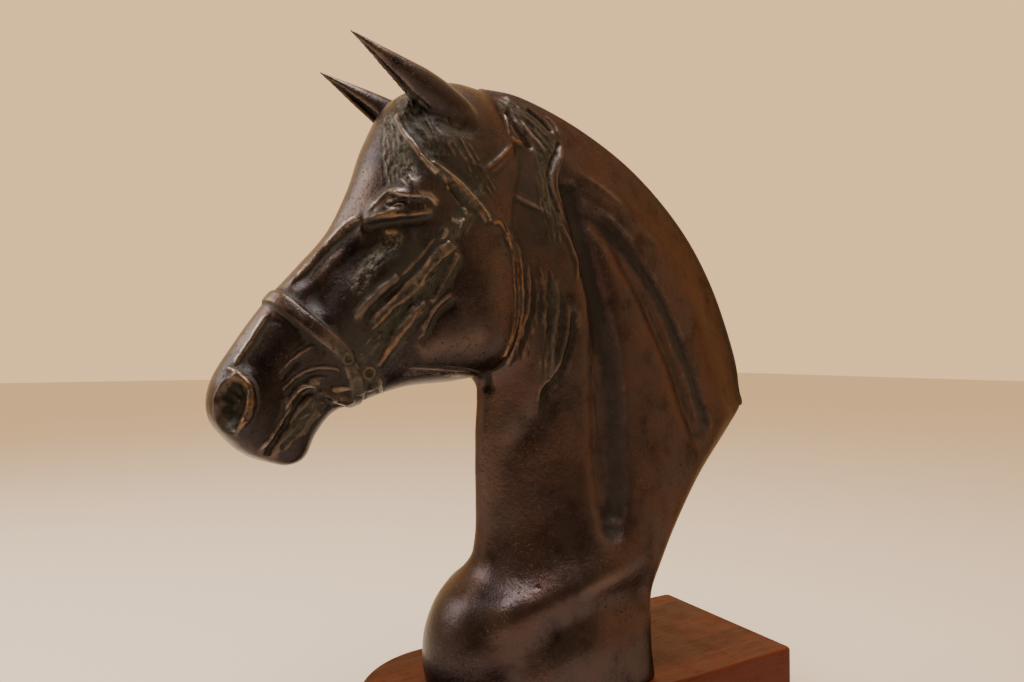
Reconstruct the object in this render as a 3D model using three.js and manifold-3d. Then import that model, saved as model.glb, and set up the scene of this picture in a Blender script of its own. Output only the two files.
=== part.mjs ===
import * as THREE from "three";
import { mergeVertices } from "three/addons/utils/BufferGeometryUtils.js";
import Module from "manifold-3d";

const wasm = await Module();
wasm.setup();

// Wooden base: millimetres, round at the front end, square at the back
const baseWidth = 102;
const baseLength = 231;
const baseHeight = 50;
const baseEdge = 1.5;
const baseCorner = 3;

// Side-view points are [forward, up]: forward of the middle of the base, up from its top face.
// Neck stations run from the base to the poll, front line to crest line. "half" holds the
// half-widths at 30, 60, 90, 120 and 150 degrees round the section, from front to back.
const neckStations = [
  { from: [82, 0], to: [-35, 0], half: [20, 36, 44.5, 46, 37] },
  { from: [84, 13], to: [-35, 13], half: [21, 37, 45, 44.5, 35] },
  { from: [82.5, 28], to: [-36.5, 27], half: [21, 37, 44.5, 42.5, 33] },
  { from: [75, 43], to: [-39.5, 42], half: [20, 35, 43, 40.5, 31] },
  { from: [60, 56], to: [-46.5, 57], half: [18, 32, 41, 39, 30] },
  { from: [56.5, 71], to: [-62, 75], half: [15, 28, 38, 37, 26] },
  { from: [56.5, 90], to: [-86, 97], half: [14, 26, 35, 33, 20] },
  { from: [57, 106], to: [-114, 119], half: [14, 25, 32.5, 29, 14] },
  { from: [57, 117], to: [-129, 132], half: [14, 25, 30.5, 25.5, 9] },
  { from: [57, 125], to: [-127.5, 142], half: [14, 24.5, 29.5, 23, 7.5] },
  { from: [56.5, 133], to: [-122.5, 165], half: [14, 24, 28.5, 22, 7] },
  { from: [56, 141], to: [-104, 205.5], half: [14, 23.5, 27, 21, 7.5] },
  { from: [57, 149], to: [-79, 239], half: [14, 22.5, 25.5, 20, 8] },
  { from: [63, 157], to: [-44, 268], half: [14, 21.5, 24, 19, 8.5] },
  { from: [68, 168], to: [-6, 287.3], half: [14, 20.5, 23, 18, 9] },
  { from: [76, 185], to: [32, 298.5], half: [13, 19, 21.5, 17, 9] },
  { from: [84, 210], to: [58, 299], half: [11, 16, 18, 14, 8] },
];

// Head stations run from the poll to the lips, top line of the face to the jaw line.
const headStations = [
  { from: [58, 299], to: [42, 283], half: [5, 8, 9, 8, 5] },
  { from: [81, 297.5], to: [34, 252], half: [13, 20, 22, 20, 13] },
  { from: [104, 285], to: [34, 216], half: [18, 28, 26.5, 23, 15] },
  { from: [116, 263.8], to: [37, 182], half: [20, 31.5, 28, 25, 17] },
  { from: [123.5, 241.8], to: [47, 158], half: [17, 29, 27.5, 26, 18] },
  { from: [133.5, 220.5], to: [70, 151.5], half: [12.5, 23.5, 25.5, 24.5, 16] },
  { from: [147.5, 203], to: [97, 149], half: [11, 19.5, 22.5, 20, 12] },
  { from: [161, 187], to: [120, 142], half: [10.5, 17.5, 19.5, 16.5, 9.5] },
  { from: [173, 169.5], to: [131, 138], half: [10.5, 17, 18, 15, 9] },
  { from: [182.5, 152.5], to: [138.5, 129], half: [11, 17.5, 18.5, 15, 9.5] },
  { from: [183, 138.2], to: [143.5, 119], half: [11, 17, 17.5, 14, 10] },
  { from: [175, 127], to: [151, 116.2], half: [8.5, 13.5, 14, 12, 8.5] },
  { from: [168, 121.2], to: [160, 118.2], half: [3, 5, 5.5, 5, 3] },
];

// How far the points of a section are drawn towards its long sides, to space them evenly.
const neckEvenness = 0.25;
const headEvenness = 0.18;

// A closed unit cylinder, whose points are then moved to the wanted shape.
const tube = (radial, rows) => new THREE.CylinderGeometry(1, 1, 1, radial, rows);

// A point of the part from its distance to the left of the middle, forward and up.
const place = (x, forward, up) => new THREE.Vector3(x, -forward, baseHeight + up);

function catmull(a, b, c, d, t) {
  const linear = c - a;
  const square = 2 * a - 5 * b + 4 * c - d;
  const cube = 3 * (b - c) + d - a;
  return b + 0.5 * t * (linear + t * (square + t * cube));
}

// The value of an evenly spaced list at a place between its first and last entries.
function along(values, place01) {
  const last = values.length - 1;
  const k = Math.min(Math.floor(place01 * last), last - 1);
  const t = place01 * last - k;
  const before = k > 0 ? values[k - 1] : 2 * values[0] - values[1];
  const after = k + 2 <= last ? values[k + 2] : 2 * values[last] - values[last - 1];
  return catmull(before, values[k], values[k + 1], after, t);
}

// The section of a loft at place t: the point at an angle round it, with 0 on the "from" line.
function sectionPoint(stations, t, angle, radius) {
  const line = (end, axis) => along(stations.map((s) => s[end][axis]), t);
  const halves = [0, 1, 2, 3, 4].map((i) => along(stations.map((s) => s.half[i]), t));
  const ring = [-halves[0], 0, ...halves, 0, -halves[4]];
  const turn = Math.abs(angle) / (Math.PI / 6);
  const k = Math.min(Math.floor(turn), 5);
  const x = catmull(ring[k], ring[k + 1], ring[k + 2], ring[k + 3], turn - k);
  const depth = (1 - Math.cos(angle)) / 2;
  const mix = 0.5 + (depth - 0.5) * radius;
  const forward = THREE.MathUtils.lerp(line("from", 0), line("to", 0), mix);
  const up = THREE.MathUtils.lerp(line("from", 1), line("to", 1), mix);
  return [Math.sign(angle) * x * radius, forward, up];
}

// Splits the first quads of a geometry along their shorter diagonals.
function splitShorter(geometry, quads) {
  const index = geometry.index;
  const p = geometry.attributes.position;
  const corner = (k) => new THREE.Vector3().fromBufferAttribute(p, k);
  for (let q = 0; q < quads; q += 1) {
    const [a, b, d] = [0, 1, 2].map((i) => index.getX(6 * q + i));
    const c = index.getX(6 * q + 4);
    if (corner(a).distanceTo(corner(c)) < corner(b).distanceTo(corner(d))) {
      [a, b, c, a, c, d].forEach((k, i) => index.setX(6 * q + i, k));
    }
  }
}

function loft(stations, radial, rows, evenness, relief) {
  const geometry = tube(radial, rows);
  const p = geometry.attributes.position;
  for (let i = 0; i < p.count; i += 1) {
    const radius = Math.hypot(p.getX(i), p.getZ(i)) > 0.5 ? 1 : 0;
    const turn = Math.atan2(p.getX(i), p.getZ(i));
    const angle = turn + evenness * Math.sin(2 * turn);
    const [x, forward, up] = sectionPoint(stations, p.getY(i) + 0.5, angle, radius);
    const moved = relief(x, forward, up);
    p.setXYZ(i, ...place(...moved).toArray());
  }
  splitShorter(geometry, radial * rows);
  return geometry;
}

function solidOf(geometry) {
  const bare = geometry.clone();
  bare.deleteAttribute("normal");
  bare.deleteAttribute("uv");
  const merged = mergeVertices(bare, 1e-3);
  const vertProperties = merged.attributes.position.array;
  const triVerts = new Uint32Array(merged.index.array);
  const made = new wasm.Manifold(new wasm.Mesh({ numProp: 3, vertProperties, triVerts }));
  if (made.volume() > 0) return made;
  for (let i = 0; i < triVerts.length; i += 3) {
    [triVerts[i + 1], triVerts[i + 2]] = [triVerts[i + 2], triVerts[i + 1]];
  }
  return new wasm.Manifold(new wasm.Mesh({ numProp: 3, vertProperties, triVerts }));
}

function geometryOf(solid) {
  const mesh = solid.getMesh();
  const geometry = new THREE.BufferGeometry();
  geometry.setAttribute("position", new THREE.BufferAttribute(mesh.vertProperties, 3));
  geometry.setIndex(new THREE.BufferAttribute(mesh.triVerts, 1));
  return geometry;
}

// Broad hollows (minus) and swellings (plus) of both sides, as lines in the side view:
// two long neck grooves, the swelling between them, the throat groove, the shoulder and its hollow.
const neckRelief = [
  { line: [[14, 250], [4, 220], [-2, 193], [-2, 130], [-1, 78]], height: -4.5, reach: 7 },
  { line: [[0, 237], [-14, 226], [-31, 199], [-52, 158], [-66, 120]], height: -3.5, reach: 6.5 },
  { line: [[-12, 250], [-46, 220], [-70, 186]], height: 2, reach: 12 },
  { line: [[24, 152], [30, 136], [44, 118], [50, 92], [52, 66]], height: -2, reach: 6 },
  { line: [[44, 46], [28, 52], [10, 59], [-20, 62]], height: 2, reach: 8 },
  { line: [[58, 12], [46, 26], [30, 36], [8, 42], [-18, 40]], height: -3.8, reach: 10 },
];
// Hollow under the eye, brow bone, round jowl, cheek, nostril swelling, lip and temple.
const headRelief = [
  { line: [[112, 214], [122, 209], [134, 199], [142, 188]], height: -4, reach: 6 },
  { line: [[104, 238], [112, 231], [118, 227]], height: 3, reach: 5 },
  { line: [[66, 196], [58, 180]], height: 2.5, reach: 20 },
  { line: [[108, 192], [120, 172], [128, 154]], height: -1.5, reach: 7 },
  { line: [[172, 146], [171, 142]], height: 2.5, reach: 8 },
  { line: [[150, 160], [158, 140]], height: -1, reach: 8 },
  { line: [[92, 254], [84, 244]], height: -2, reach: 8 },
];

function distanceToLine(forward, up, line) {
  const point = new THREE.Vector3(forward, up, 0);
  const nearest = new THREE.Vector3();
  let least = Infinity;
  for (let i = 0; i + 1 < line.length; i += 1) {
    const a = new THREE.Vector3(...line[i], 0);
    const b = new THREE.Vector3(...line[i + 1], 0);
    new THREE.Line3(a, b).closestPointToPoint(point, true, nearest);
    least = Math.min(least, nearest.distanceTo(point));
  }
  return least;
}

// The relief fades out between these distances from the middle plane.
const reliefFrom = 5;
const reliefFull = 16;

// Moves a surface point sideways by the relief lines near it.
const carvedBy = (relief) => (x, forward, up) => {
  let push = 0;
  for (const { line, height, reach } of relief) {
    push += height * Math.exp(-((distanceToLine(forward, up, line) / reach) ** 2));
  }
  const share = THREE.MathUtils.smoothstep(Math.abs(x), reliefFrom, reliefFull);
  return [x + Math.sign(x) * push * share, forward, up];
};

const neckColumns = 38;
const neckRows = 34;
const headColumns = 32;
const headRows = 37;
const neck = solidOf(loft(neckStations, neckColumns, neckRows, neckEvenness, carvedBy(neckRelief)));
const head = solidOf(loft(headStations, headColumns, headRows, headEvenness, carvedBy(headRelief)));
const body = neck.add(head);

// Ears: a leaf with its hollow underneath
const earRoot = [19, 63.5, 270];
const earTip = [25.9, 131.2, 303.6];
const earHollowSide = new THREE.Vector3(-0.16, -0.63, -0.77);
const earWidths = [3, 7, 8, 7.5, 5.8, 3.2, 0.5];
const earDepths = [3, 8, 9, 8.2, 5.6, 2.9, 0.5];
const earColumns = 8;
const earRows = 7;
const hollowStart = 0.46;
const hollowEnd = 0.94;
const hollowWidths = [0.3, 3.4, 4.2, 3.8, 3, 1.8, 0.2];
const hollowDepths = [0.3, 4.5, 5.6, 4.8, 3.4, 1.9, 0.2];
const hollowSink = [8, 7.6, 6.8, 5.6, 4.2, 2.7, 1.4];

// A leaf between two places of the ear's axis, sunk sideways from it by a list of amounts.
function leaf(start, end, widths, depths, sinks) {
  const root = place(...earRoot);
  const axis = place(...earTip).sub(root);
  const across = new THREE.Vector3().crossVectors(axis, earHollowSide).normalize();
  const down = new THREE.Vector3().crossVectors(across, axis).normalize();
  const geometry = tube(earColumns, earRows);
  const p = geometry.attributes.position;
  for (let i = 0; i < p.count; i += 1) {
    const t = p.getY(i) + 0.5;
    const at = root.clone().addScaledVector(axis, THREE.MathUtils.lerp(start, end, t));
    at.addScaledVector(across, p.getX(i) * along(widths, t));
    at.addScaledVector(down, p.getZ(i) * along(depths, t) + along(sinks, t));
    p.setXYZ(i, ...at.toArray());
  }
  return solidOf(geometry);
}

// A solid of the left side together with its mirror image on the right.
const mirror = new THREE.Matrix4().makeScale(-1, 1, 1);
const both = (solid) => solid.add(solidOf(geometryOf(solid).applyMatrix4(mirror)));

const ear = leaf(0, 1, earWidths, earDepths, [0, 0]);
const earHollow = leaf(hollowStart, hollowEnd, hollowWidths, hollowDepths, hollowSink);
const eared = body.add(both(ear)).subtract(both(earHollow));

// Finds the surface by looking along a ray from outside towards an aim point.
const seenFromAll = new THREE.MeshBasicMaterial({ side: THREE.DoubleSide });
const target = new THREE.Mesh(geometryOf(eared), seenFromAll);
target.geometry.computeVertexNormals();
const rays = new THREE.Raycaster();
const reachOut = 60;
const left = new THREE.Vector3(1, 0, 0);

function touch(aim, direction) {
  rays.set(aim.clone().addScaledVector(direction, reachOut), direction.clone().negate());
  const hit = rays.intersectObject(target)[0];
  return { point: hit.point, normal: hit.normal.clone() };
}

// Evenly spaced touches on the left side along a side-view line.
function sideTouches(line, count) {
  const curve = new THREE.CatmullRomCurve3(line.map(([forward, up]) => place(0, forward, up)));
  return curve.getSpacedPoints(count).map((aim) => touch(aim, left));
}

// A strip laid along touches, with a narrow top above the surface and a wide root below it.
const stripTop = 0.5;
const stripRoot = 1.4;
function strip(touches, halfWidth, above, below) {
  const rows = touches.length - 1;
  const geometry = new THREE.BoxGeometry(1, 1, 1, rows, 1, 1);
  const p = geometry.attributes.position;
  for (let i = 0; i < p.count; i += 1) {
    const k = Math.round((p.getX(i) + 0.5) * rows);
    const { point, normal } = touches[k];
    const ahead = touches[Math.min(k + 1, rows)].point;
    const behind = touches[Math.max(k - 1, 0)].point;
    const side = ahead.clone().sub(behind).cross(normal).normalize();
    const top = p.getZ(i) > 0;
    const half = halfWidth * (top ? stripTop : stripRoot);
    const at = point.clone().addScaledVector(side, 2 * p.getY(i) * half);
    at.addScaledVector(normal, top ? above : -below);
    p.setXYZ(i, ...at.toArray());
  }
  return solidOf(geometry);
}

const lumpColumns = 8;
const lumpRows = 5;

// An egg-shaped lump at a place on the left side, turned in the side view.
function lump(x, forward, up, long, tall, thick, turn) {
  const geometry = new THREE.SphereGeometry(1, lumpColumns, lumpRows);
  geometry.scale(thick, long, tall);
  geometry.rotateX(turn);
  geometry.translate(...place(x, forward, up).toArray());
  return solidOf(geometry);
}

// Bridle straps cast on the surface
const strapRise = 1.6;
const strapRoot = 1.5;
const cheekStrap = [[80, 226], [90.5, 215.5], [106, 201], [118.5, 187], [128, 175], [131, 164]];
const bitStrap = [[77, 220], [87.5, 206.5], [94, 193.5], [103, 181], [110.5, 171], [119.5, 157]];
const browStrap = [[110, 264], [107, 256], [102, 248], [96, 242], [88, 235.5], [79, 228.5]];
const pollStrap = [[52, 291], [44, 283.5], [41, 275], [47, 264], [57, 253], [69, 240.5], [79, 228.5]];
const throatStrap = [[70, 230], [63, 227], [52.5, 221], [47, 206], [45, 186.5], [46.5, 169.5], [49, 160.5]];
const straps = [
  strip(sideTouches(cheekStrap, 6), 2, strapRise, strapRoot),
  strip(sideTouches(bitStrap, 6), 1.8, strapRise, strapRoot),
  strip(sideTouches(browStrap, 5), 2, strapRise, strapRoot),
  strip(sideTouches(pollStrap, 7), 2.2, strapRise, strapRoot),
  strip(sideTouches(throatStrap, 7), 1.8, strapRise, strapRoot),
];

// Noseband: a closed loop round the nose and jaw
const noseHalf = 3;
const noseTop = place(0, 160, 190);
const noseUnder = place(0, 121, 141);
const nosebandPieces = 20;
const nosebandTop = 0.7;
const nosebandRoot = 1.3;

// Each section of the ring has two corners above the surface and two below it.
function noseband() {
  const middle = noseTop.clone().lerp(noseUnder, 0.5);
  const upward = noseTop.clone().sub(noseUnder).normalize();
  const across = new THREE.Vector3().crossVectors(upward, left);
  const geometry = new THREE.TorusGeometry(1, 0.1, 4, nosebandPieces);
  const p = geometry.attributes.position;
  const count = geometry.parameters.tubularSegments;
  const sides = geometry.parameters.radialSegments;
  for (let i = 0; i < p.count; i += 1) {
    const turn = ((i % (count + 1)) / count) * 2 * Math.PI;
    const corner = Math.floor(i / (count + 1)) % sides;
    const out = upward.clone().multiplyScalar(Math.cos(turn)).addScaledVector(left, Math.sin(turn));
    const { point } = touch(middle, out);
    const top = corner < 2;
    const half = noseHalf * (top ? nosebandTop : nosebandRoot);
    const wide = corner === 0 || corner === 3 ? half : -half;
    const lift = top ? strapRise : -strapRoot;
    const at = point.clone().addScaledVector(out, lift).addScaledVector(across, wide);
    p.setXYZ(i, ...at.toArray());
  }
  return solidOf(geometry);
}

// Cheek plate and the end of the bit
const bitParts = [
  lump(16.5, 124, 151, 8, 6.5, 3.4, 0.4),
  lump(15, 136, 147, 6, 3, 4, -0.5),
];

// Eye: an almond hollow with the eyeball in it, under a brow
const eyeHollow = lump(30.5, 106, 231.5, 9, 3.6, 5, 0.35);
const eyeBall = lump(25.6, 106, 231.5, 6.5, 4, 4, 0.35);
const brow = lump(26.5, 106, 236.5, 9.5, 2.6, 4, 0.5);

// Nostril: a rim with a deep hollow
const nostrilRim = lump(14, 174, 145, 8.2, 12, 6.2, -0.2);
const nostrilHollow = lump(20.5, 175, 144.5, 5.2, 9, 7, -0.2);

// Mouth line
const mouthLine = [[162, 121.5], [158.5, 128], [155, 134.5], [150, 142.5], [143, 148]];
const mouth = strip(sideTouches(mouthLine, 4), 1.2, 1.5, 1.6);

// Clipped mane: a low ridge along the crest
const maneHalf = 3;
const maneRise = 1.6;
const maneRoot = 4;
const maneTop = 0.6;
const manePieces = 12;
const cornerStation = 8;
function mane() {
  const crest = neckStations.slice(cornerStation).map((s) => place(0, ...s.to));
  const geometry = new THREE.BoxGeometry(1, 1, 1, manePieces, 1, 1);
  const p = geometry.attributes.position;
  const line = new THREE.CatmullRomCurve3(crest);
  for (let i = 0; i < p.count; i += 1) {
    const t = p.getX(i) + 0.5;
    const tangent = line.getTangent(t);
    const out = new THREE.Vector3(0, tangent.z, -tangent.y);
    const top = p.getZ(i) > 0;
    const at = line.getPoint(t).addScaledVector(out, top ? maneRise : -maneRoot);
    at.x = 2 * p.getY(i) * maneHalf * (top ? maneTop : 1);
    p.setXYZ(i, ...at.toArray());
  }
  return solidOf(geometry);
}

let bust = eared.add(mane()).add(both(nostrilRim)).subtract(both(nostrilHollow));
bust = bust.add(both(brow)).subtract(both(eyeHollow)).add(both(eyeBall)).subtract(both(mouth));
for (const piece of [...straps, ...bitParts]) {
  bust = bust.add(both(piece));
}
bust = bust.add(noseband());

// Outline of the base seen from above, rounded at the front.
const outline = new THREE.Shape();
const halfWidth = baseWidth / 2 - baseEdge;
const backEnd = baseLength / 2 - baseEdge;
const roundStart = -baseLength / 2 + baseWidth / 2;
outline.moveTo(halfWidth, roundStart);
outline.lineTo(halfWidth, backEnd - baseCorner);
outline.absarc(halfWidth - baseCorner, backEnd - baseCorner, baseCorner, 0, Math.PI / 2);
outline.lineTo(baseCorner - halfWidth, backEnd);
outline.absarc(baseCorner - halfWidth, backEnd - baseCorner, baseCorner, Math.PI / 2, Math.PI);
outline.lineTo(-halfWidth, roundStart);
outline.absarc(0, roundStart, halfWidth, Math.PI, 2 * Math.PI);
const block = new THREE.ExtrudeGeometry(outline, {
  depth: baseHeight - 2 * baseEdge,
  bevelThickness: baseEdge,
  bevelSize: baseEdge,
  bevelSegments: 2,
  curveSegments: 8,
});
block.translate(0, 0, baseEdge);

const bronze = new THREE.MeshStandardMaterial({ color: 0x4a382f, roughness: 0.38, metalness: 1 });
const mahogany = new THREE.MeshStandardMaterial({ color: 0x6b2d1c, roughness: 0.42, metalness: 0 });

const bustMesh = new THREE.Mesh(geometryOf(bust), bronze);
bustMesh.name = "horse_head";
const baseMesh = new THREE.Mesh(block, mahogany);
baseMesh.name = "wooden_base";

const sculpture = new THREE.Group();
sculpture.add(bustMesh, baseMesh);

export default sculpture;
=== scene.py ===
import math

import bmesh
import bpy
import numpy as np
from bpy.props import FloatProperty, FloatVectorProperty, PointerProperty
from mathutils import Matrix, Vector
from mathutils.bvhtree import BVHTree
from mathutils.kdtree import KDTree


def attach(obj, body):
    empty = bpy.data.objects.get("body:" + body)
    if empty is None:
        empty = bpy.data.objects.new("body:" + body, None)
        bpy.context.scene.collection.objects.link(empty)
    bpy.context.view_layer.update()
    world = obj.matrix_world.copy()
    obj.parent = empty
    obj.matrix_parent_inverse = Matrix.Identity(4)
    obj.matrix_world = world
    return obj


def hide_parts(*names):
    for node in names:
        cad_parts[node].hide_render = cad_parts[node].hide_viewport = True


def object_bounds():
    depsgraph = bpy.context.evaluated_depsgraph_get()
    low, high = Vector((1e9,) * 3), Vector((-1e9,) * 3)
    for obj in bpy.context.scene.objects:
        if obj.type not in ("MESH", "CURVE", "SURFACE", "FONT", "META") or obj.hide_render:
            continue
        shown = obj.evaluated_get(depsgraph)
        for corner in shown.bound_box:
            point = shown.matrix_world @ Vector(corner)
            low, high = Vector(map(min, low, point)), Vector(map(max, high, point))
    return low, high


bl_info = {
    "name": "Bronze Horse Head",
    "version": (1, 0, 0),
    "blender": (4, 5, 0),
    "location": "View3D > Sidebar > Horse Head",
    "description": "Builds a cast bronze horse head on a mahogany base",
    "category": "Object",
}

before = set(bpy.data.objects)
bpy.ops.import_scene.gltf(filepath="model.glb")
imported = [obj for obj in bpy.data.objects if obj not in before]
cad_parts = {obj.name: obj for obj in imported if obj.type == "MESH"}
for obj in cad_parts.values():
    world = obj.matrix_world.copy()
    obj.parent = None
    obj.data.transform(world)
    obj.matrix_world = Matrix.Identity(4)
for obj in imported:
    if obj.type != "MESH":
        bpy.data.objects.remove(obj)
cad_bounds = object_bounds()

MM = 0.001
BASE_TOP = 50.0

# All modelling points are (left, forward, up) in millimetres: left of the middle plane, forward
# of the middle of the base and up from its top face. A station is the front point and the back
# point of a section in the side view, then its half-widths at 30, 60, 90, 120 and 150 degrees.
NECK_STATIONS = (
    (82, 0, -35, 0, 20, 36, 44.5, 46, 37),
    (84, 13, -35, 13, 21, 37, 45, 44.5, 35),
    (82.5, 28, -36.5, 27, 21, 37, 44.5, 42.5, 33),
    (75, 43, -39.5, 42, 20, 35, 43, 40.5, 31),
    (60, 56, -46.5, 57, 18, 32, 41, 39, 30),
    (56.5, 71, -62, 75, 15, 28, 38, 37, 26),
    (56.5, 90, -86, 97, 14, 26, 35, 33, 20),
    (57, 106, -114, 119, 14, 25, 32.5, 29, 14),
    (57, 117, -129, 132, 14, 25, 30.5, 25.5, 9),
    (57, 125, -127.5, 142, 14, 24.5, 29.5, 23, 7.5),
    (56.5, 133, -122.5, 165, 14, 24, 28.5, 22, 7),
    (56, 141, -104, 205.5, 14, 23.5, 27, 21, 7.5),
    (57, 149, -79, 239, 14, 22.5, 25.5, 20, 8),
    (63, 157, -44, 268, 14, 21.5, 24, 19, 8.5),
    (68, 168, -6, 287.3, 14, 20.5, 23, 18, 9),
    (76, 185, 32, 298.5, 13, 19, 21.5, 17, 9),
    (84, 210, 58, 299, 11, 16, 18, 14, 8),
)
HEAD_STATIONS = (
    (58, 299, 42, 283, 5, 8, 9, 8, 5),
    (81, 297.5, 34, 252, 13, 20, 22, 20, 13),
    (104, 285, 34, 216, 18, 28, 26.5, 23, 15),
    (116, 263.8, 37, 182, 20, 31.5, 28, 25, 17),
    (123.5, 241.8, 47, 158, 17, 29, 27.5, 26, 18),
    (133.5, 220.5, 70, 151.5, 12.5, 23.5, 25.5, 24.5, 16),
    (147.5, 203, 97, 149, 11, 19.5, 22.5, 20, 12),
    (161, 187, 120, 142, 10.5, 17.5, 19.5, 16.5, 9.5),
    (173, 169.5, 131, 138, 10.5, 17, 18, 15, 9),
    (182.5, 152.5, 138.5, 129, 11, 17.5, 18.5, 15, 9.5),
    (183, 138.2, 143.5, 119, 11, 17, 17.5, 14, 10),
    (175, 127, 151, 116.2, 8.5, 13.5, 14, 12, 8.5),
    (168, 121.2, 160, 118.2, 3, 5, 5.5, 5, 3),
)

# Broad relief of the lofts: a side-view line, the height of the swelling and its reach.
NECK_RELIEF = (
    (((14, 250), (4, 220), (-2, 193), (-2, 130), (-1, 78)), -4.5, 7),
    (((0, 237), (-14, 226), (-31, 199), (-52, 158), (-66, 120)), -3.5, 6.5),
    (((-12, 250), (-46, 220), (-70, 186)), 2, 12),
    (((24, 152), (30, 136), (44, 118), (50, 92), (52, 66)), -2, 6),
    (((44, 46), (28, 52), (10, 59), (-20, 62)), 2, 8),
    (((58, 12), (46, 26), (30, 36), (8, 42), (-18, 40)), -3.8, 10),
)
HEAD_RELIEF = (
    (((112, 214), (122, 209), (134, 199), (142, 188)), -4, 6),
    (((104, 238), (112, 231), (118, 227)), 3, 5),
    (((66, 196), (58, 180)), 2.5, 20),
    (((108, 192), (120, 172), (128, 154)), -1.5, 7),
    (((172, 146), (171, 142)), 2.5, 8),
    (((150, 160), (158, 140)), -1, 8),
    (((92, 254), (84, 244)), -2, 8),
)

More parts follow.
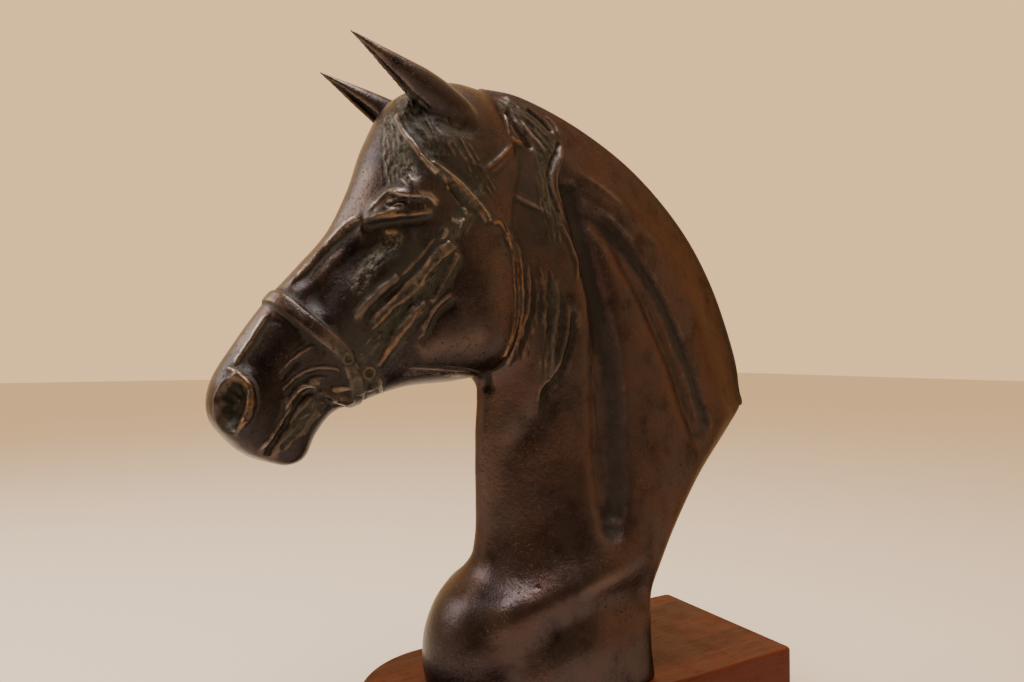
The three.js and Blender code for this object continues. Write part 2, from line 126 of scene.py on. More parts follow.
# Chased lines of the bronze, drawn over the photograph of the left side and mirrored: the
# spots of the line in the photograph's pixels, across and down in turn, then in mm its height and its
# reach on the upper or front side and on the other. How square its profile is, the share that fades
# out at each end and its coat follow where they differ from USUAL_PROFILE.
USUAL_PROFILE = (2, 0.2, "")
# Some coats of the lines paint light into the colour: the coat of the polished ridges is a painted
# highlight, the broad coat of the nasal plane, jowl, throat, chest and shoulder is painted sheen and
# reflection, the coat of wear on edges also paints highlights on the facial crest and the crest of the neck,
# and the dark film paints shade on the temple.
CHASING = (
    ("Brow ridge and the fold round the outer corner of the eye", (366, 213, 376, 205, 384, 197.5,
     391.5, 192.5, 399, 193, 408, 195, 418, 196, 427, 196.5, 433, 201, 432, 207), 1.4, 1.1, 2.6, 2, 0.12,
     "bright"),
    ("Opening of the eye", (384.5, 206, 390, 203, 397, 200.8, 404, 200.2, 409, 201.5), -1.7, 1.3, 1),
    ("Under the eyeball", (388, 207.5, 396, 206.3, 404, 206, 411, 204.5), -0.4, 0.9, 0.8, 2, 0.25),
    ("Eyeball", (391, 205, 397, 203.8, 403, 203.4, 407, 203.4), 0.4, 1.3, 1.1, 2, 0.3),
    ("Lower lid", (386, 208.6, 395, 208.6, 402, 207.6, 408, 206), 0.6, 0.7, 0.8, 2, 0.25, "bright"),
    ("Outer corner", (417, 202, 427, 202.5), 0.6, 2.4, 2.4, 2, 0.3, "worn"),
    ("Wrinkle", (417, 195, 416, 207), -0.5, 0.6, 0.6),
    ("Wrinkle", (421.5, 195, 420.5, 206), -0.5, 0.6, 0.6),
    ("Wrinkle", (426, 196, 425, 206), -0.4, 0.6, 0.6),
    ("Rim of the orbit", (400, 212.3, 390, 211.4, 381, 214.6, 370, 218.2), 0.8, 0.9, 0.9, 2, 0.3,
     "gold"),
    ("Edge of the orbit", (436, 209, 425.5, 212.7, 416.4, 214.5, 400, 215.5, 391.8, 216.8, 382.7, 217.8,
     370, 220, 361, 221), 1.2, 2.8, 0.9, 2, 0.15, "worn"),
    ("Orbit gold", (368, 217.6, 380, 216.4, 395, 214.8, 412, 213, 426, 211), 0.05, 0.9, 0.9, 2, 0.1,
     "gold"),
    ("Upper lid", (371, 215, 380, 206, 388, 199, 395, 196.5), 0.5, 2, 1.6, 2, 0.25, "bright"),
    ("Hollow under the orbit", (438, 216, 416, 220, 400, 222, 385, 224, 370, 227, 358, 229), -2, 1.7, 5),
    ("Worn knob", (388, 232, 395, 231.5), 0.9, 1.4, 1.4, 3, 0, "gold"),
    ("Edge of the nasal plane", (366, 221.5, 354.5, 225.5, 342.5, 233.5, 328.7, 248.4, 315.2, 263.4,
     302.7, 278, 291, 289), -1.9, 1.1, 6, 2, 0.25),
    ("Edge", (365, 217.5, 352.5, 221, 340, 230, 326, 245, 312.5, 260, 300, 274.5, 288, 286), 0.6, 2.6, 1,
     2, 0.1, "bright"),
    # Its coat here is a painted soft highlight along the facial crest, over a raised ridge.
    ("Facial crest", (347, 243, 338, 254, 329, 266, 317, 282, 303, 300), 1, 2.6, 4, 2, 0.4, "worn"),
    ("Nose edge", (272, 314, 263, 327, 255, 340, 246.5, 352.5, 236, 369), -1.4, 1, 7, 2, 0.12),
    ("Nose ridge", (269.5, 312, 260.5, 325, 252.5, 338, 244, 350.5, 233, 367.5), 0.5, 2.2, 0.8, 2, 0.12,
     "bright"),
    ("First cheek line", (400, 273, 390, 281.4, 380, 288.6, 372.9, 296.4, 362.9, 306.4, 352, 321), 1.6,
     0.9, 2.8, 2, 0.12, "worn"),
    ("Groove", (398, 283, 386, 295, 373, 308, 363, 323), -1, 1.4, 1.4),
    ("Cheek strap, upper edge", (450, 240, 442.9, 245, 432.9, 253.6, 424.3, 266.4, 412.9, 277.9,
     401.4, 289.3, 387.1, 305, 377.1, 313.6, 368.6, 322.1), 0.6, 0.8, 0.9, 2, 0.05, "gold"),
    ("Cheek strap, lower edge", (458.6, 243.6, 451.4, 252.1, 438.6, 262.1, 430, 269.3, 421.4, 283.6,
     410, 295, 398.6, 303.6, 387.1, 313.6, 378.6, 323.6, 370, 329), 0.6, 0.9, 0.8, 2, 0.05, "gold"),
    ("Cheek strap", (453, 243, 436, 259, 423, 274, 406, 293, 389, 308, 372, 325), 1.3, 2.3, 2.3, 5, 0.03,
     "worn"),
    ("Groove", (446, 236, 435, 246, 426, 258, 414, 270, 402, 282, 389, 296, 377, 307), -0.9, 1.3, 1.3),
    ("Thin line", (441, 267.5, 431, 276.5, 420, 290, 407, 301, 398, 309), 0.7, 0.8, 0.8),
    ("Second strap", (459, 252, 454.3, 260.7, 448.6, 272.1, 441.4, 285, 435.7, 295, 429, 304), 1.5, 1.7,
     1.3, 3, 0.1, "worn"),
    ("Second strap", (429, 300, 418.6, 307.5, 414.3, 316.4, 405.7, 327.9, 398.6, 335, 391.4, 345,
     385.7, 353.6, 380, 362.1, 377.1, 369.3), 0.6, 0.8, 0.9, 2, 0.08, "gold"),
    ("Second strap, face", (428, 302, 413, 318, 402, 331, 393, 344, 384, 357, 378, 368), 1, 1.9, 1.9, 5,
     0.06, "worn"),
    ("Its upper edge", (424, 299, 411, 313, 402, 324, 394, 334, 387, 344), 0.5, 0.7, 0.7, 2, 0.2,
     "gold"),
    ("Groove", (427, 287, 412, 301, 399, 316, 389, 328, 381, 341), -1.3, 2, 2),
    ("Edge of the jowl", (457, 296, 446, 305, 437.5, 313.5, 432, 325, 425, 338, 417, 343.5), -1.3, 0.9,
     4, 2, 0.15),
    ("Fold beside the jowl", (454, 291, 442, 301, 433.5, 309.5, 428, 321, 421, 333), 0.9, 2.2, 0.9, 2,
     0.15),
    ("Knob", (465, 211, 465, 213), 1.5, 1.8, 1.8, 2, 0, "bright"),
    ("Buckle", (450, 218.5, 458, 222.3, 465, 219), 1.2, 0.9, 0.9, 2, 0.1, "bright"),
    ("Buckle", (459, 222, 460.5, 229), 1.1, 0.9, 0.9, 2, 0.1, "bright"),
    ("Knob", (446, 232, 443, 236), 1.3, 1.6, 1.6, 2, 0, "bright"),
    ("End of the bit", (334, 397, 346, 399), 3.2, 2.9, 2.9, 3, 0, "worn"),
    ("Bit", (321.5, 392.3, 331, 395.5), 1.7, 1.3, 1.3, 2, 0, "worn"),
    ("Ring of the bit", (333, 389, 346, 388.5), 1.3, 1.4, 1.4, 2, 0, "bright"),
    ("Groove under the bit", (322, 398.5, 332, 403, 346, 406), -0.9, 0.9, 0.9, 2, 0.1),
    ("Cheek plate", (358, 384, 371, 383), 0.8, 5, 5, 8, 0, "green"),
    ("Plate edge", (379, 380, 380.5, 392), 0.9, 1, 1, 2, 0, "bright"),
    ("Upper lip", (256, 453.5, 266.6, 445, 273.7, 435, 279.4, 425, 286.6, 416.5, 292.3, 409.3,
     298, 401.5), 0.6, 0.7, 1.5, 2, 0.15, "bright"),
    ("Mouth", (264, 458, 272.5, 448.5, 279, 436, 285, 427, 293, 412, 299.3, 401.8, 307.5, 393.3,
     316, 390.5), -2.1, 1.5, 1.1, 2, 0.1),
    ("Lower lip", (298, 440, 305, 426, 314, 414.5, 321, 411), 1.1, 1.7, 1.7),
    ("Lower lip fold", (279.5, 451, 287.5, 441.5, 297, 434), -0.9, 0.8, 0.8),
    ("Lower lip fold", (290, 430, 300, 416, 313, 405), -0.9, 1, 1),
    ("Wrinkle ridge", (282, 415, 289, 402, 298, 391, 306.5, 386.5, 319, 388), 0.9, 1, 1, 2, 0.2,
     "bright"),
    ("Wrinkle ridge", (281, 393, 289.4, 382, 301, 373.6, 315, 368, 335, 369, 341, 375), 0.8, 0.9, 0.9),
    ("Wrinkle", (284, 397, 292, 387, 303, 379, 316, 374, 332, 375), -0.9, 1.1, 1.1),
    ("Wrinkle ridge", (284, 371, 291, 361, 303.7, 350.7, 317, 346), 0.5, 0.9, 0.9, 2, 0.25),
    ("Wrinkle", (278, 382, 286.6, 370.7, 298, 357), -0.6, 1, 1, 2, 0.25),
    ("Nostril rim", (229, 374, 240, 379, 247, 386, 250, 396, 249.3, 406, 245.3, 416, 239, 423.5,
     231, 428.5), 2, 2.6, 2.2, 3, 0.1, "gold"),
    ("Nostril rim front", (228, 376, 221.5, 384, 217, 394, 215.5, 404, 216, 414, 219, 424, 225, 430),
     0.8, 1.1, 1.1, 2, 0.2, "worn"),
    ("Nostril", (231, 396, 230, 405, 227, 416), -7.5, 6, 6, 6, 0, "green"),
    ("Nostril fold", (222, 390, 226, 397), 0.9, 1.2, 1.2, 2, 0),
    ("Curl", (229, 368.5, 236, 370.5, 241, 374), 0.8, 0.9, 0.9, 2, 0, "bright"),
    # Painted reflection: a pale strip along the underside of the jaw.
    ("Jaw underside", (400, 376, 415, 372.5, 440, 372.5, 470, 375.5), 0.05, 2.4, 2.4, 2, 0.1, "bright"),
    ("Jaw edge", (404, 368, 413, 366, 430, 367, 450, 369, 470, 371.5, 480, 374), -1, 0.8, 0.9, 2, 0.1),
    ("Throat strap, front edge", (490, 221.7, 500, 223.5, 505, 233, 509, 245, 512.5, 260, 514, 280,
     515, 300, 514.5, 318, 511, 336, 505, 352, 500.5, 361), 0.6, 0.8, 1, 2, 0.05, "gold"),
    ("Throat strap, back edge", (505, 225, 511, 236, 518.5, 249, 521, 265, 522.5, 285, 523, 303,
     520.5, 322, 515, 341, 508, 356), 0.5, 0.9, 0.8, 2, 0.05, "gold"),
    ("Throat strap", (505, 232, 513, 247, 517, 262, 518.5, 280, 519.5, 300, 517.5, 320, 512.5, 339,
     504, 358), 1.2, 2.4, 2.4, 5, 0.03, "worn"),
    ("Fold behind it", (525, 261, 529, 283, 528, 303, 521.7, 328, 511.7, 353, 504, 368), 1.1, 1.1, 1.5,
     2, 0.15, "worn"),
    ("Throat groove", (531, 262, 534, 290, 531.5, 315, 524, 340, 512, 365), -1, 1.2, 1.5),
    ("Throat fold", (537, 262, 543, 283, 545, 306, 543, 326), 0.9, 1.1, 1.1, 2, 0.3),
    ("Throat groove", (548, 265, 551, 290, 550, 320, 547, 345), -1.2, 1.3, 1.3, 2, 0.25),
    ("Throat fold", (554, 276, 557.5, 296.7, 556.7, 316.7, 553, 340, 549, 358), 1, 1.1, 1.1, 2, 0.25,
     "green"),
    ("Throat groove", (562, 290, 563, 315, 560, 340, 554, 368), -1.2, 1.3, 1.3, 2, 0.25),
    ("Throat fold", (568, 300, 568.5, 323, 565, 343, 560, 363, 556.7, 376.7), 0.9, 1, 1, 2, 0.25,
     "green"),
    ("Throat groove", (573, 300, 574, 325, 569, 350, 558, 376, 545, 392, 539, 415), -1.6, 1.5, 2.2),
    ("Red ridge", (556, 222, 564, 230, 571, 246, 576.5, 263, 577, 285), 1.1, 1.6, 1.6),
    ("Corner pocket", (486, 374, 487, 386), -2.2, 2.6, 2.6, 2, 0),
    ("Brow band", (395.8, 113.3, 403.3, 131.7, 413.3, 145, 421.7, 158.3, 430, 168.3, 436.7, 174), 1.5,
     1.5, 1.3, 3, 0.05, "bright"),
    ("Brow band, face", (399, 112, 406, 131, 415, 145, 423, 157, 431, 167), 0.7, 2.6, 2.2, 4, 0.08,
     "worn"),
    ("Brow band branch", (435, 171, 441.5, 177, 446, 184, 448.3, 191), 1.3, 1.2, 1.4, 2, 0.1, "gold"),
    ("Brow band back", (429, 161.5, 443.3, 169.5, 455, 178.3, 465, 188.3, 475, 200, 485, 211.7,
     492, 222), 0.8, 1, 1, 2, 0.05, "bright"),
    ("Brow band back, face", (427, 163, 441, 174, 457, 184, 470, 197, 481, 211, 490, 223), 1.1, 2.5, 2.5,
     4, 0.08, "worn"),
    ("Brow band back, lower line", (447, 175, 458, 185, 468, 196, 478, 208, 485, 217), 0.6, 0.8, 0.8, 2,
     0.1, "gold"),
    ("Groove under", (441, 180, 452, 189, 463, 202, 472, 214), -0.9, 1.5, 1.5),
    ("Headpiece", (518, 134, 509, 150, 497, 164, 482, 176, 467, 188), 0.8, 2.8, 2.8, 3, 0.3),
    ("Headpiece edge", (512, 142, 503, 154, 490, 165, 474, 176), 0.6, 0.8, 0.8, 2, 0.25, "gold"),
    ("Headpiece knob", (512, 139, 519, 143), 1.3, 1.7, 1.7, 2, 0, "gold"),
    ("White line", (505, 113, 507, 124, 508, 137), 0.8, 0.8, 0.8, 2, 0.2, "bright"),
    ("Bulb", (507, 99, 509.5, 104), 1.3, 2.2, 2.2, 2, 0),
    ("Lock", (515, 105, 525, 118, 541.7, 131.7, 553, 141.7), 0.9, 1.1, 1.1),
    ("Lock groove", (505, 108, 515, 125, 525, 138, 531, 151), -2, 1.5, 1.5, 2, 0.12),
    ("Lock groove", (513, 97, 526, 108, 541, 120, 553, 133), -2, 1.3, 1.3, 2, 0.12),
    ("Lock", (516, 95.5, 530, 104.5, 543, 114, 554, 125, 560, 138), 0.9, 1.2, 1.2),
    ("Lock", (519, 120, 530, 133, 541, 146, 546, 155), 1, 1.1, 1.1, 2, 0.2, "bright"),
    ("Mane root groove", (559, 141, 556.5, 152, 551.5, 164, 549.2, 180, 553, 197, 561.5, 219), -2, 1.2,
     1.4, 2, 0.1),
    ("Fold behind it", (563, 146, 561, 160, 557, 175, 559, 195, 568, 218), 0.6, 1.1, 1.1, 2, 0.3),
    ("Red diagonal", (508, 191, 528, 203, 545, 213, 556.7, 225), 0.7, 1.2, 1.8, 2, 0.3),
    ("Groove below ear", (433, 117, 448, 126.7, 468, 132, 491.7, 129), -0.7, 2.2, 2.2, 2, 0.4, "green"),
    ("Temple pad", (448, 149, 470, 152), 1.2, 8, 8, 3, 0),
    # A small raised spot whose colour is a painted highlight on the lit lower rim of the temple pad.
    ("Temple spot", (478, 167, 480, 169), 0.9, 1, 1, 2, 0, "bright"),
    ("Neck groove 1", (566, 180, 572, 205, 580, 238, 587, 268, 594, 298, 602, 328, 608, 352, 612, 380,
     613.5, 410, 614.5, 440, 615.5, 470, 615.5, 500, 612, 525), -1.8, 5.4, 5.2, 3, 0.04, "dark"),
    ("Neck groove 2", (587, 213, 613, 230, 640, 267, 663, 307, 680, 347, 693, 380, 703, 413, 705, 438),
     -1.8, 4.6, 4.2, 3, 0.12, "dark"),
    # Their coat is a painted highlight along the crest of the neck, over a low raised ridge.
    ("Crest light", (573, 167, 585, 177, 600, 187, 620, 203, 632, 214), 1, 2.2, 2.8, 2, 0.4, "worn"),
    ("Crest light", (638, 222, 650, 237, 665, 257), 0.6, 2.5, 2.5, 2, 0.5, "worn"),
    ("Chest ridge", (505, 588, 504, 615, 499, 650), 1.2, 7, 8, 2, 0.45),
    ("Pit", (537.5, 586.5, 539.5, 587.5), -0.7, 0.55, 0.55, 2, 0),
    ("Shoulder ridge", (556, 606, 580, 595, 600, 586, 622, 577, 646, 567), 0.9, 6, 6, 2, 0.45),
    ("Shoulder hollow", (512, 664, 530, 648, 555, 634, 590, 621, 620, 611, 647, 603), -0.5, 9, 7, 2,
     0.45),
    # Painted highlight down the front of the chest, over a low raised line.
    ("Chest", (503, 602, 502, 622, 498, 652), 0.3, 6.5, 6.5, 2, 0.4, "rubbed"),
    # Painted reflection lightening the lower jowl, and a painted highlight along the front rim of the
    # throat.
    ("Rubbed jowl", (412, 352, 440, 347, 468, 342, 490, 333), 0.01, 5.5, 5.5, 2, 0.15, "rubbed"),
    ("Rubbed throat", (490, 385, 489, 420, 487, 470, 486, 520), 0.01, 5, 7, 2, 0.2, "rubbed"),
    ("Groove end", (614, 512, 611, 533), -0.3, 5.2, 5.2, 4, 0, "dark"),
    # Painted highlight along the shoulder ridge.
    ("Shoulder light", (575, 592, 595, 585, 612, 579, 635, 571), 0.2, 6, 6, 2, 0.4, "rubbed"),
    ("Nostril dirt", (230, 388, 228, 405, 226, 424), 0.02, 5.5, 5.5, 3, 0, "soot"),
    # Painted reflection lightening the nasal plane and forehead along the profile.
    ("Nasal plane", (371, 160, 366, 185, 357, 205, 338, 223, 315, 246, 292, 272, 270, 300, 250, 328,
     230, 358), 0.01, 7, 7, 3, 0.08, "rubbed"),
    # Painted shade darkening the smooth temple pad, with some greenish dirt in it.
    ("Temple dirt", (438, 122, 452, 146, 470, 172, 492, 205), 0.01, 11, 11, 2, 0.15, "soot"),
    ("Dirt behind the headpiece", (512, 150, 520, 180, 535, 215, 548, 260), 0.01, 10, 10, 2, 0.15,
     "soot"),
    ("Dirt of the cheek folds", (440, 225, 415, 262, 388, 300, 362, 335, 345, 365), 0.01, 12, 12, 2, 0.1,
     "soot"),
    ("Dirt round the bit", (352, 352, 352, 375, 330, 392), 0.01, 8, 8, 2, 0.2, "soot"),
    ("Dirt of the lips", (306, 400, 300, 425, 290, 445), 0.01, 6, 6, 2, 0.2, "soot"),
    ("Dirt under the orbit", (360, 228, 385, 228, 415, 224), 0.01, 6, 6, 2, 0.2, "soot"),
    ("Dirt of the throat", (530, 290, 545, 320, 548, 360), 0.01, 9, 9, 2, 0.2, "soot"),
    ("Dirt of the locks", (512, 105, 535, 125, 552, 160, 553, 200), 0.01, 9, 9, 2, 0.1, "soot"),
    ("Dirt of the forelock", (392, 118, 402, 145, 410, 175), 0.01, 9, 9, 2, 0.2, "soot"),
)

# Rough patches: spots in the same pixels, the reach, the height and size of the grain, the coat.
ROUGH = (
    ("Forelock", (388, 120, 390, 148, 391, 176), 4, 0.9, 1.3, "lime"),
    ("Forelock", (397, 128, 402, 152, 408, 175), 4.6, 0.9, 1.3, "lime"),
    ("Brow hair", (404, 98, 417, 120, 430, 150), 5.5, 0.7, 1.2, "green"),
    ("Cheek scratches", (396, 238, 381, 254, 369, 268, 358, 288), 3.6, 0.5, 1, "lime"),
    ("Cheek folds", (436, 270, 415, 300, 392, 325, 366, 360), 4.6, 0.6, 1.1, "green"),
    ("Mouth corner", (289, 406, 303, 391, 316, 384), 2.2, 0.5, 1, "lime"),
    ("Locks", (513, 108, 530, 125, 548, 148), 6.5, 0.9, 1.3, "green"),
    ("Locks", (540, 158, 545, 190, 556, 230), 5.5, 0.7, 1.3, "green"),
    ("Junction", (478, 190, 464, 218, 448, 240), 5, 0.6, 1.1, "green"),
    ("Temple", (448, 126, 462, 150, 486, 185), 7, 0.45, 1.3, ""),
    ("Ring surround", (340, 350, 356, 362, 374, 378), 4, 0.5, 1, "green"),
    ("Lip", (290, 440, 305, 420, 318, 408), 4, 0.5, 1, "green"),
    ("Throat", (526, 270, 533, 310, 522, 350), 5, 0.5, 1.2, ""),
    ("Throat", (552, 290, 556, 325, 545, 365), 5, 0.5, 1.2, "green"),
)

# The coats. Four of them carry painted light as well: the highlights on ridges, the broad sheen and
# reflections, the highlights among the wear, and the shade on the temple among the greenish dirt.
COATS = ("gold", "bright", "worn", "rubbed", "green", "lime", "dark", "soot")
MOST_TRIANGLES = 196000

# The bridle's rings with their radius, and the path of the noseband in the side view.
RINGS = (((19, 129.5, 163), 2.2), ((17, 119, 156.5), 2.5))
NOSEBAND_SIDE = ((160, 190), (156.3, 188.2), (142.2, 174.8), (131, 165), (125, 154), (121, 141))

# The left ear's root and tip, and the way its opening faces.
EAR_ROOT = (19, 63.5, 270)
EAR_TIP = (25.9, 131.2, 303.6)
EAR_OPENING = (-0.16, 0.63, -0.77)
# Along an ear: half-width, half-depth and how far the slit of its opening is sunk.
EAR_WIDTHS = (3, 7, 8, 7.5, 5.8, 3.2, 0.5)
EAR_DEPTHS = (3, 8, 9, 8.2, 5.6, 2.9, 0.5)
EAR_SUNK = (0, 0, 0, 0.6, 1.15, 1.05, 0)
EAR_SLIT = (0.35, 0.62)

# Rounding of the ears: their girth and the shares along them where it sets in.
EAR_GIRTH = 14
EAR_ROUNDED = (0.15, 0.4)
# Places melted into the rest, each with its reach, at the ear root and along the shoulder.
BLENDS = (((20, 63, 268), 13), ((31, 47, 37), 14), ((31, 33, 44), 14), ((31, 16, 52), 13))
BLEND_ROUNDS = 110

# Points round and along the tubes of the body and of an ear, and the size of the skin's meshes.
BODY_MESH = (144, 150)
EAR_MESH = (48, 60)
VOXEL = 0.7
# How evenly points are spread round a section, and how near the middle plane relief sets in.
NECK_EVENNESS = 0.25
HEAD_EVENNESS = 0.18
RELIEF_SETS_IN = (5, 16)

# The hand of the maker: how far lines wander, how uneven narrow ones are, and the sizes of both.
WANDER = 0.35
WANDER_SIZE = 3.2
WANDER_SEEDS = (11, 12, 13)
UNEVENNESS = 0.25
UNEVEN_SIZE = 2.4
UNEVEN_SEED = 14
NARROW = 2.7
# The steps in which lines are laid on the skin, and how many reaches away they end.
STEP = 1.0
LONG_STEP = 1.5
FAR = 2.4

# The rings' wire, the noseband, the ridge of the clipped mane, which begins at one of the neck's
# stations, and the edge of the rough patches. OUTSIDE is a place beyond the side of the head.
WIRE = 0.8
WIRE_RISE = 1.2
RING_POINTS = 17
BAND_SQUARE = 8
BAND_POINTS = 60
OUTSIDE = 90
MANE_FIRST = 8
MANE_REACH = 3.2
MANE_SQUARE = 6
MANE_FADE = 0.01
ROUGH_SQUARE = 3
LEAST_FORM = 0.01
# Strands of the rough patches: how far they are stretched, and the height and size of their wander.
STRAND_STRETCH = 0.8
STRAND_WANDER = (0.8, 7)
# Layers of hollowness: their names, how many rounds the skin is spread and the depth that counts as 1.
HOLLOWS = (("fine_hollow", 4, 0.12), ("broad_hollow", 40, 0.8))

FRONT_SEGMENTS = 24
CORNER_SEGMENTS = 5
EDGE_SEGMENTS = 4
JOINT = 0.00001

FLOOR_SIZE = 6
VIEW_SIDE = (0.87, -0.49, 0)
LIT_PLACE = (0, 0, 0.2)
LAMP_SIZE = 0.6
TOP_LAMP = (0.15, -0.15, 1.1)
FRONT_LAMP = (-0.45, -0.85, 0.75)
CAMERA_PLACE = (0.3185, -0.2167, 0.21475)
CAMERA_WAY = (-0.8704, 0.4924)
CAMERA_PITCH = 1.06
SENSOR_WIDTH = 36
# Of the photograph, in pixels: its width, its middle and the distance it is seen from.
PHOTO_WIDTH = 1024
PHOTO_MIDDLE = (512, 341)
PHOTO_FOCUS = 700


def catmull(a, b, c, d, t):
    return b + 0.5 * t * (c - a + t * (2 * a - 5 * b + 4 * c - d + t * (3 * (b - c) + d - a)))


def along(values, place):
    """Values of an evenly spaced list at places between its first entry and its last."""
    values = np.asarray(values, float).reshape(len(values), -1)
    last = len(values) - 1
    k = np.minimum((place * last).astype(int), last - 1)
    longer = np.vstack([2 * values[0] - values[1], values, 2 * values[-1] - values[-2]])
    return catmull(longer[k], longer[k + 1], longer[k + 2], longer[k + 3], (place * last - k)[:, None])


def smoothstep(x, low, high):
    t = np.clip((x - low) / (high - low), 0, 1)
    return t * t * (3 - 2 * t)


def segment_offsets(points, line):
    """From the nearest point of a line to each point: the offset, the segment and its share."""
    a, b = line[:-1], line[1:]
    span = b - a
    share = np.einsum("nsk,sk->ns", points[:, None] - a, span) / (span * span).sum(1)
    share = np.clip(share, 0, 1)
    offset = points[:, None] - (a + share[..., None] * span)
    nearest = np.argmin((offset * offset).sum(2), 1)
    rows = np.arange(len(points))
    return offset[rows, nearest], nearest, share[rows, nearest]


def section_points(stations, evenness, place, turn, radius):
    table = np.array(stations, float)
    ends = along(table[:, :4], place)
    halves = along(table[:, 4:], place)
    nothing = np.zeros(len(place))
    ring = np.column_stack([-halves[:, 0], nothing, halves, nothing, -halves[:, 4]])
    angle = turn + evenness * np.sin(2 * turn)
    sixths = np.abs(angle) / (math.pi / 6)
    k = np.minimum(sixths.astype(int), 5)
    rows = np.arange(len(place))
    half = catmull(ring[rows, k], ring[rows, k + 1], ring[rows, k + 2], ring[rows, k + 3], sixths - k)
    mix = 0.5 - 0.5 * np.cos(angle) * radius
    forward = ends[:, 0] + (ends[:, 2] - ends[:, 0]) * mix
    up = ends[:, 1] + (ends[:, 3] - ends[:, 1]) * mix
    return np.column_stack([np.sign(angle) * half * radius, forward, up])


def carve(points, relief):
    """Moves surface points sideways by the broad relief near them."""
    side = np.column_stack([points[:, 1], points[:, 2]])
    push = np.zeros(len(points))
    for line, height, reach in relief:
        offset, _, _ = segment_offsets(side, np.array(line, float))
        push += height * np.exp(-(offset * offset).sum(1) / reach**2)
    moved = points.copy()
    moved[:, 0] += np.sign(points[:, 0]) * push * smoothstep(np.abs(points[:, 0]), *RELIEF_SETS_IN)
    return moved


def closed_tube(columns, rows, shape):
    """A sphere whose points are moved by shape(place along it, turn round it, radius)."""
    bm = bmesh.new()
    bmesh.ops.create_uvsphere(bm, u_segments=columns, v_segments=rows, radius=1)
    sphere = np.array([v.co for v in bm.verts])
    row = np.round(np.arccos(np.clip(sphere[:, 2], -1, 1)) / math.pi * rows)
    place = np.clip((row - 1) / (rows - 2), 0, 1)
    turn = np.arctan2(sphere[:, 0], sphere[:, 1])
    radius = ((row > 0) & (row < rows)).astype(float)
    for v, point in zip(bm.verts, shape(place, turn, radius)):
        v.co = point
    return bm


def join(pieces):
    """One mesh of several closed shapes."""
    joined = bmesh.new()
    for bm in pieces:
        part = bpy.data.meshes.new("part")
        bm.to_mesh(part)
        bm.free()
        joined.from_mesh(part)
        bpy.data.meshes.remove(part)
    return joined


def neck_shape(place, turn, radius):
    return carve(section_points(NECK_STATIONS, NECK_EVENNESS, place, turn, radius), NECK_RELIEF)


def head_shape(place, turn, radius):
    return carve(section_points(HEAD_STATIONS, HEAD_EVENNESS, place, turn, radius), HEAD_RELIEF)


def ear_shape(side):
    root = np.array(EAR_ROOT, float) * (side, 1, 1)
    axis = np.array(EAR_TIP, float) * (side, 1, 1) - root
    opening = np.array(EAR_OPENING) * (side, 1, 1)
    across = np.cross(axis, opening)
    across /= np.linalg.norm(across)
    down = np.cross(across, axis)
    down /= np.linalg.norm(down)

    def shape(place, turn, radius):
        width = along(EAR_WIDTHS, place)[:, 0]
        depth = along(EAR_DEPTHS, place)[:, 0]
        sunk = np.clip(along(EAR_SUNK, place)[:, 0], 0, 2)
        slit = (np.cos(turn) < 0) * (1 - smoothstep(np.abs(np.sin(turn)), *EAR_SLIT))
        wide = np.sin(turn) * width
        deep = -np.cos(turn) * depth * (1 - slit * sunk)
        at = root + place[:, None] * axis
        return at + radius[:, None] * (wide[:, None] * across + deep[:, None] * down)

    return shape


def remeshed(bm, voxel):
    """The one skin round all the shapes of a mesh, as an object."""
    mesh = bpy.data.meshes.new("skin")
    bm.to_mesh(mesh)
    bm.free()
    skin = bpy.data.objects.new("skin", mesh)
    bpy.context.scene.collection.objects.link(skin)
    remesh = skin.modifiers.new("Remesh", "REMESH")
    remesh.mode = "VOXEL"
    remesh.voxel_size = voxel
    remesh.use_smooth_shade = True
    return applied(skin)


def applied(obj):
    """Applies an object's modifiers to its mesh."""
    graph = bpy.context.evaluated_depsgraph_get()
    finished = bpy.data.meshes.new_from_object(obj.evaluated_get(graph))
    old = obj.data
    obj.modifiers.clear()
    obj.data = finished
    bpy.data.meshes.remove(old)
    return obj


class Skin:
    """The points of a mesh as arrays, for sculpting in modelling coordinates."""

    def __init__(self, obj):
        self.mesh = obj.data
        count = len(self.mesh.vertices)
        flat = np.empty(count * 3)
        self.mesh.vertices.foreach_get("co", flat)
        self.points = flat.reshape(-1, 3)
        ends = np.empty(len(self.mesh.edges) * 2, int)
        self.mesh.edges.foreach_get("vertices", ends)
        self.edges = ends.reshape(-1, 2)
        self.degree = np.bincount(self.edges.ravel(), minlength=count).astype(float)

    def spread(self, values):
        """The mean of each point's neighbours."""
        a, b = self.edges.T
        total = np.zeros_like(values)
        for k in range(values.shape[1]):
            column = values[:, k]
            total[:, k] = np.bincount(a, column[b], len(values)) + np.bincount(b, column[a], len(values))
        return total / self.degree[:, None]

    def smooth(self, rounds, share):
        """Smooths the skin; share is one number, or one for each point."""
        for _ in range(rounds):
            self.points += share * (self.spread(self.points) - self.points)

    def normals(self):
        self.store()
        flat = np.empty(len(self.points) * 3)
        self.mesh.vertex_normals.foreach_get("vector", flat)
        return flat.reshape(-1, 3)

    def store(self):
        self.mesh.vertices.foreach_set("co", self.points.ravel())
        self.mesh.update()

    def hollowness(self):
        """How hollow (above 0) or proud (below 0) each point is, finely and broadly."""
        normals = self.normals()
        layers = {}
        spread = self.points
        for name, rounds, scale in HOLLOWS:
            for _ in range(rounds):
                spread = self.spread(spread)
            away = ((spread - self.points) * normals).sum(1) / scale
            layers[name] = np.clip(away, -1, 1)
        return layers

    def tree(self):
        self.store()
        quads = [tuple(p.vertices) for p in self.mesh.polygons]
        return BVHTree.FromPolygons([Vector(p) for p in self.points], quads)


